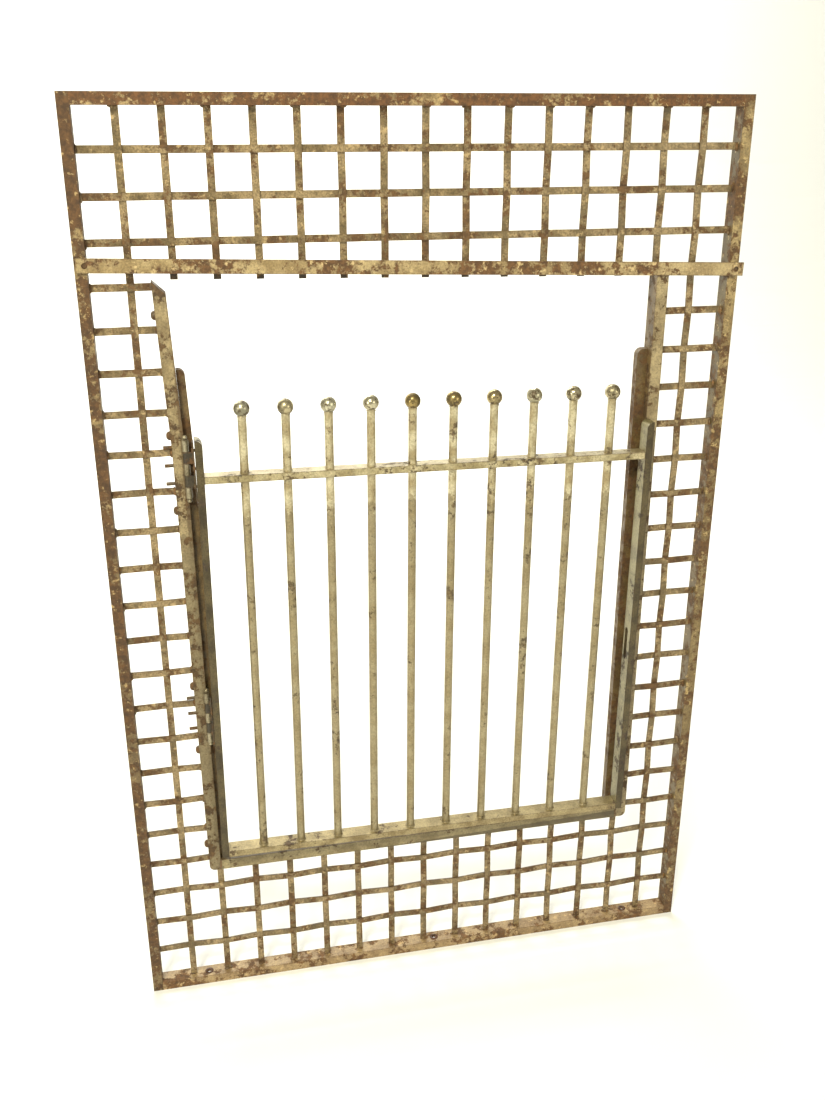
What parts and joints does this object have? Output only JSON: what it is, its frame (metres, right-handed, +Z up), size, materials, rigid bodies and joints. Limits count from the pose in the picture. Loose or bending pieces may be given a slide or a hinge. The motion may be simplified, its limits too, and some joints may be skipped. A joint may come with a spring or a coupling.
{
  "type": "window security bar",
  "caption": "Angle-iron window grille with a woven flat-bar lattice and a hinged gate of round rods with ball finials, which guards a window opening.",
  "frame": {"origin": "underside of the bottom leg, midway between its two outer screw holes", "axes": "+X along the sill to the right seen from outside, +Y into the wall, +Z up the bars"},
  "size_m": [0.8387, 0.0465, 1.2454],
  "materials": {
    "rusty_frame_paint": "red-brown paint, chipped and rusted",
    "cream_rail_paint": "cream paint with rust blotches",
    "tan_lattice_paint": "tan paint under grime and rust",
    "tan_jamb_paint": "tan paint with worn dark edges",
    "rust_brown_stop": "red-brown rust over old paint",
    "olive_gate_paint": "olive grey paint, worn",
    "silver_rod_paint": "aluminium paint, stained",
    "worn_nickel": "worn nickel plate over brass",
    "zinc_hinge": "dull zinc",
    "dark_hinge": "dark paint, worn",
    "rusty_fasteners": "rust-brown"
  },
  "bodies": {
    "frame": {"cross_rail": "cream_rail_paint", "cross_rail_rivets": "rusty_fasteners", "hinge_bolts": "rusty_fasteners", "hinge_lower_fixed_leaf": "zinc_hinge", "hinge_lower_pin": "zinc_hinge", "hinge_upper_fixed_leaf": "zinc_hinge", "hinge_upper_pin": "zinc_hinge", "jamb_left": "tan_jamb_paint", "jamb_right": "tan_jamb_paint", "jamb_sill": "tan_jamb_paint", "lattice_row_01": "tan_lattice_paint", "lattice_row_02": "tan_lattice_paint", "lattice_row_03": "tan_lattice_paint", "lattice_row_21": "tan_lattice_paint", "lattice_row_22": "tan_lattice_paint", "lattice_row_23": "tan_lattice_paint", "lattice_stubs_left": "tan_lattice_paint", "lattice_stubs_right": "tan_lattice_paint", "lattice_upright_left": "tan_lattice_paint", "lattice_upright_right": "tan_lattice_paint", "lattice_uprights_lower": "tan_lattice_paint", "lattice_uprights_upper": "tan_lattice_paint", "outer_bottom_rail": "rusty_frame_paint", "outer_stile_left": "rusty_frame_paint", "outer_stile_right": "rusty_frame_paint", "outer_top_rail": "rusty_frame_paint", "stop_left": "rust_brown_stop", "stop_right": "rust_brown_stop", "stop_rivets_left": "rusty_fasteners", "stop_rivets_right": "rusty_fasteners"},
    "gate": {"gate_ball_01": "worn_nickel", "gate_ball_02": "worn_nickel", "gate_ball_03": "worn_nickel", "gate_ball_04": "worn_nickel", "gate_ball_05": "worn_nickel", "gate_ball_06": "worn_nickel", "gate_ball_07": "worn_nickel", "gate_ball_08": "worn_nickel", "gate_ball_09": "worn_nickel", "gate_ball_10": "worn_nickel", "gate_bottom_rail": "olive_gate_paint", "gate_crossbar": "silver_rod_paint", "gate_hinge_rivets": "rusty_fasteners", "gate_rod_01": "silver_rod_paint", "gate_rod_02": "silver_rod_paint", "gate_rod_03": "silver_rod_paint", "gate_rod_04": "silver_rod_paint", "gate_rod_05": "silver_rod_paint", "gate_rod_06": "silver_rod_paint", "gate_rod_07": "silver_rod_paint", "gate_rod_08": "silver_rod_paint", "gate_rod_09": "silver_rod_paint", "gate_rod_10": "silver_rod_paint", "gate_stile_left": "olive_gate_paint", "gate_stile_right": "olive_gate_paint", "hinge_lower_moving_leaf": "dark_hinge", "hinge_upper_moving_leaf": "dark_hinge"}
  },
  "joints": [
    {"name": "gate_hinge", "type": "hinge", "parent": "frame", "child": "gate", "pos_m": [-0.30474, -0.0155, 0.4475], "axis": [0.0068, 0, -1], "range_deg": [0, 110]}
  ]
}
